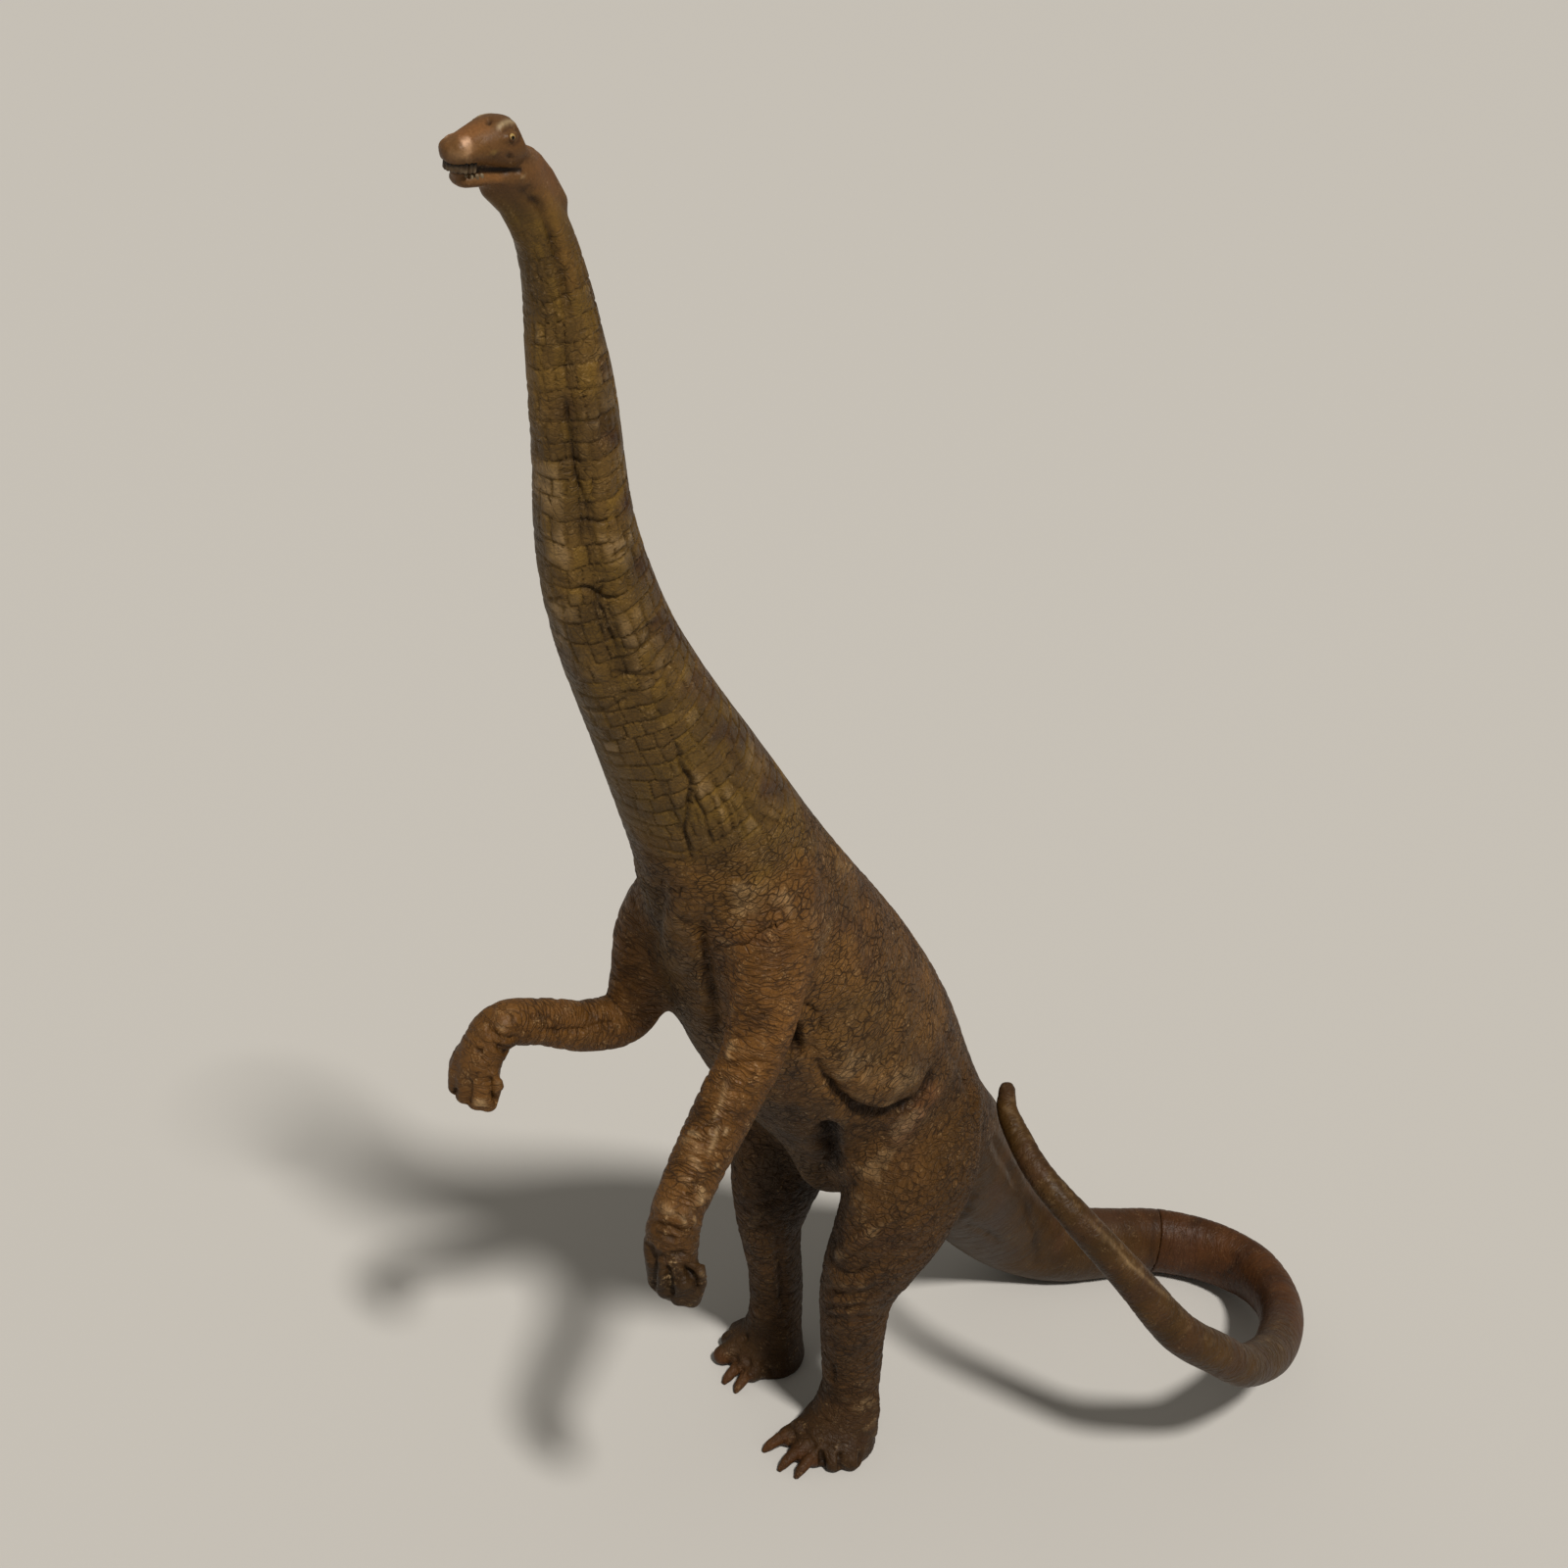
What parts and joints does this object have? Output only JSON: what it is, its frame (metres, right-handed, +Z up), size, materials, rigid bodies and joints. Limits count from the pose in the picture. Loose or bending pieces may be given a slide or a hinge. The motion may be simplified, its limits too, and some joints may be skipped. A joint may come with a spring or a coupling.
{
  "type": "toy dinosaur figure",
  "caption": "Solid vinyl toy figure of a long-necked dinosaur rearing on its hind legs and tail, with its neck raised, forelimbs hanging forward and the tail's whip curled to one side.",
  "frame": {"origin": "centre of the bounding box's base, on the floor that the feet and the tail stand on", "axes": "+Z is up, the animal faces -Y, and its left side is +X"},
  "size_m": [0.1146, 0.2434, 0.2999],
  "materials": {
    "torso": "hand-painted vinyl, satin, with pale dry-brushed wear on the wrinkles",
    "neck": "hand-painted vinyl, satin, with pale dry-brushed wear on the wrinkles",
    "forelimb": "hand-painted vinyl, satin, with pale dry-brushed wear on the wrinkles",
    "hindlimb": "hand-painted vinyl, satin, with pale dry-brushed wear on the wrinkles",
    "tail": "hand-painted vinyl, satin, with pale dry-brushed wear on the wrinkles"
  },
  "bodies": {
    "root": {"torso": "torso", "neck_and_head": "neck", "forelimb_left": "forelimb", "forelimb_right": "forelimb", "hindlimb_left": "hindlimb", "hindlimb_right": "hindlimb", "tail_base": "tail", "tail_whip": "tail"}
  },
  "joints": []
}
